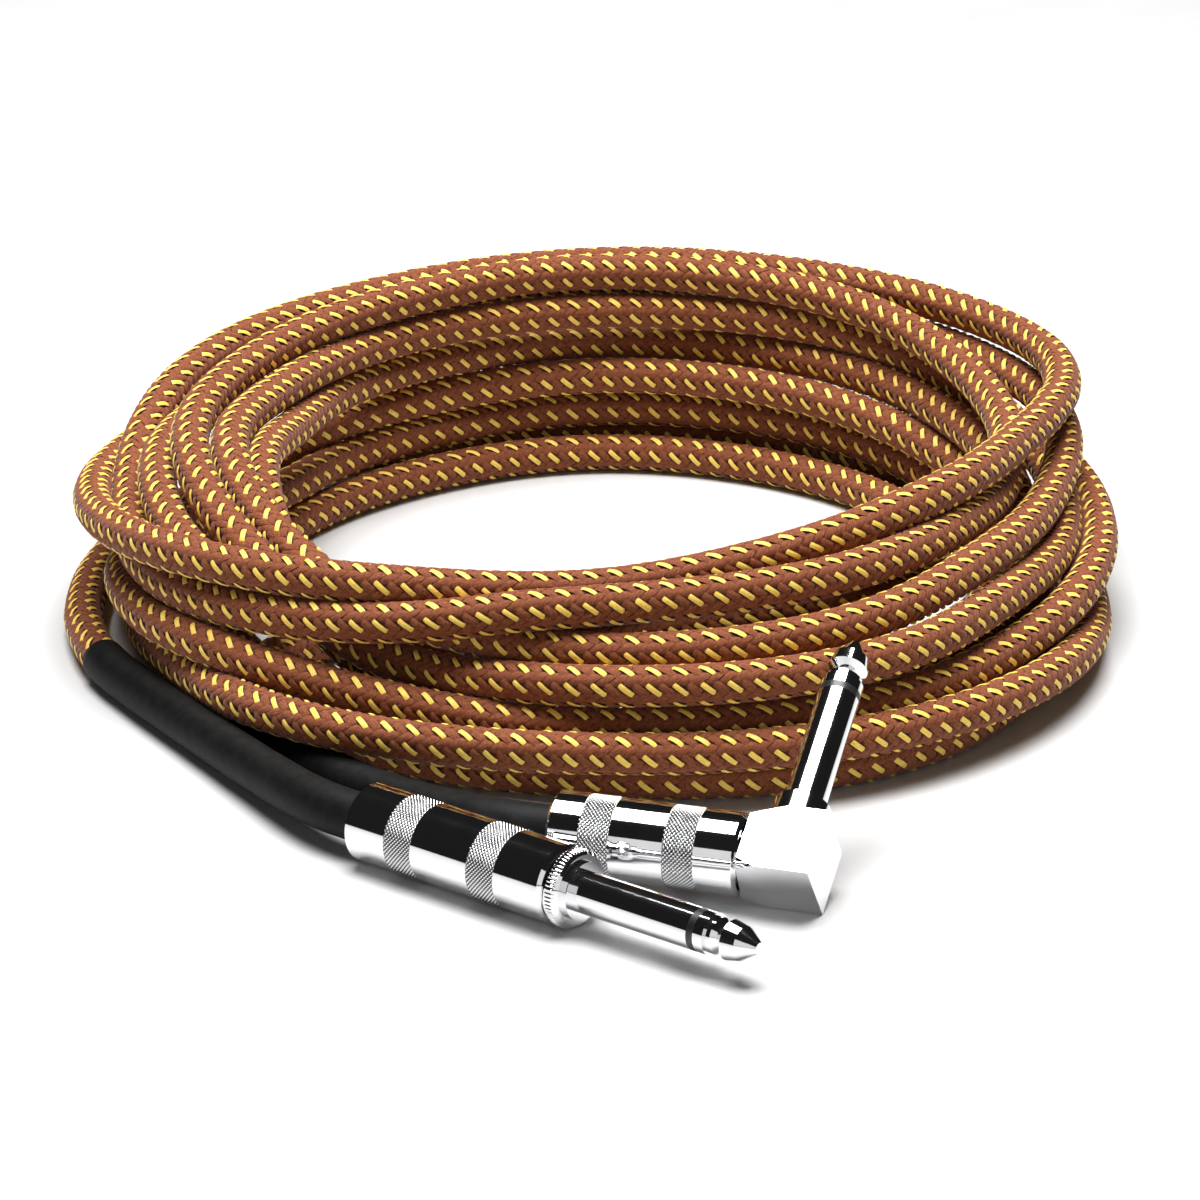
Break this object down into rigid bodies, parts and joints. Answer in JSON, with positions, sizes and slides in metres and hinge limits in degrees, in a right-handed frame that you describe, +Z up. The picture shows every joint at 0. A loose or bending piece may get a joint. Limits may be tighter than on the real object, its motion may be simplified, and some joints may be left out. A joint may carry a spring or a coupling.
{
  "type": "instrument cable",
  "caption": "Coiled braided instrument cable with a straight and a right-angle 1/4 inch phone plug, chrome screw-on barrels and long black heat-shrink sleeves",
  "frame": {"origin": "middle of the coil on the surface that it rests on", "axes": "+Z up, +X to the right along the front of the coil, +Y from the plugs to the back of the coil"},
  "size_m": [0.1795, 0.2457, 0.0411],
  "materials": {
    "chrome_shell": "bright polished chrome plating, knurled bands",
    "chrome_shaft": "polished nickel-chrome contact",
    "black_insulator": "black moulded insulator",
    "clear_liner": "translucent insulating tube",
    "brass_terminal": "stamped brass, dull",
    "core_insulation": "white polyethylene",
    "copper": "bare stranded copper",
    "solder": "solder, satin",
    "shrink_sleeve": "matte black heat-shrink",
    "braid_brown": "reddish-brown woven textile braid",
    "braid_gold": "gold tracer yarns in the braid"
  },
  "bodies": {
    "cable_body": {"straight_threaded_body": "chrome_shell", "straight_sleeve_contact": "chrome_shaft", "straight_tip_contact": "chrome_shaft", "straight_tip_insulator": "black_insulator", "straight_rear_insulator": "black_insulator", "straight_tip_terminal": "brass_terminal", "straight_ground_terminal": "brass_terminal", "straight_core_insulation": "core_insulation", "straight_core_conductor": "copper", "straight_shield_pigtail": "copper", "straight_tip_solder": "solder", "straight_ground_solder": "solder", "straight_strain_relief": "shrink_sleeve", "straight_cable_lead": "braid_brown", "angle_head": "chrome_shell", "angle_sleeve_contact": "chrome_shaft", "angle_tip_contact": "chrome_shaft", "angle_tip_insulator": "black_insulator", "angle_rear_insulator": "black_insulator", "angle_tip_terminal": "brass_terminal", "angle_ground_terminal": "brass_terminal", "angle_core_insulation": "core_insulation", "angle_core_conductor": "copper", "angle_shield_pigtail": "copper", "angle_tip_solder": "solder", "angle_ground_solder": "solder", "angle_strain_relief": "shrink_sleeve", "angle_cable_lead": "braid_brown", "cable_coil": "braid_brown"},
    "straight_liner_body": {"straight_liner": "clear_liner"},
    "straight_barrel_body": {"straight_barrel": "chrome_shell"},
    "angle_liner_body": {"angle_liner": "clear_liner"},
    "angle_barrel_body": {"angle_barrel": "chrome_shell"}
  },
  "joints": [
    {"name": "straight_back_off", "type": "slide", "parent": "cable_body", "child": "straight_liner_body", "axis": [-0.7716, 0.6361, 0], "range_m": [0, 0.003]},
    {"name": "straight_unscrew", "type": "hinge", "parent": "straight_liner_body", "child": "straight_barrel_body", "pos_m": [-0.0344, -0.1017, 0.006], "axis": [-0.7716, 0.6361, 0], "range_deg": [0, 1440]},
    {"name": "angle_back_off", "type": "slide", "parent": "cable_body", "child": "angle_liner_body", "axis": [-0.9483, 0.3173, 0], "range_m": [0, 0.003]},
    {"name": "angle_unscrew", "type": "hinge", "parent": "angle_liner_body", "child": "angle_barrel_body", "pos_m": [-0.0064, -0.1078, 0.00695], "axis": [-0.9483, 0.3173, 0], "range_deg": [0, 1440]}
  ],
  "couplings": [
    {"joint": "straight_unscrew", "follows": "straight_back_off", "rad_per_m": 8377.6},
    {"joint": "angle_unscrew", "follows": "angle_back_off", "rad_per_m": 8377.6}
  ]
}
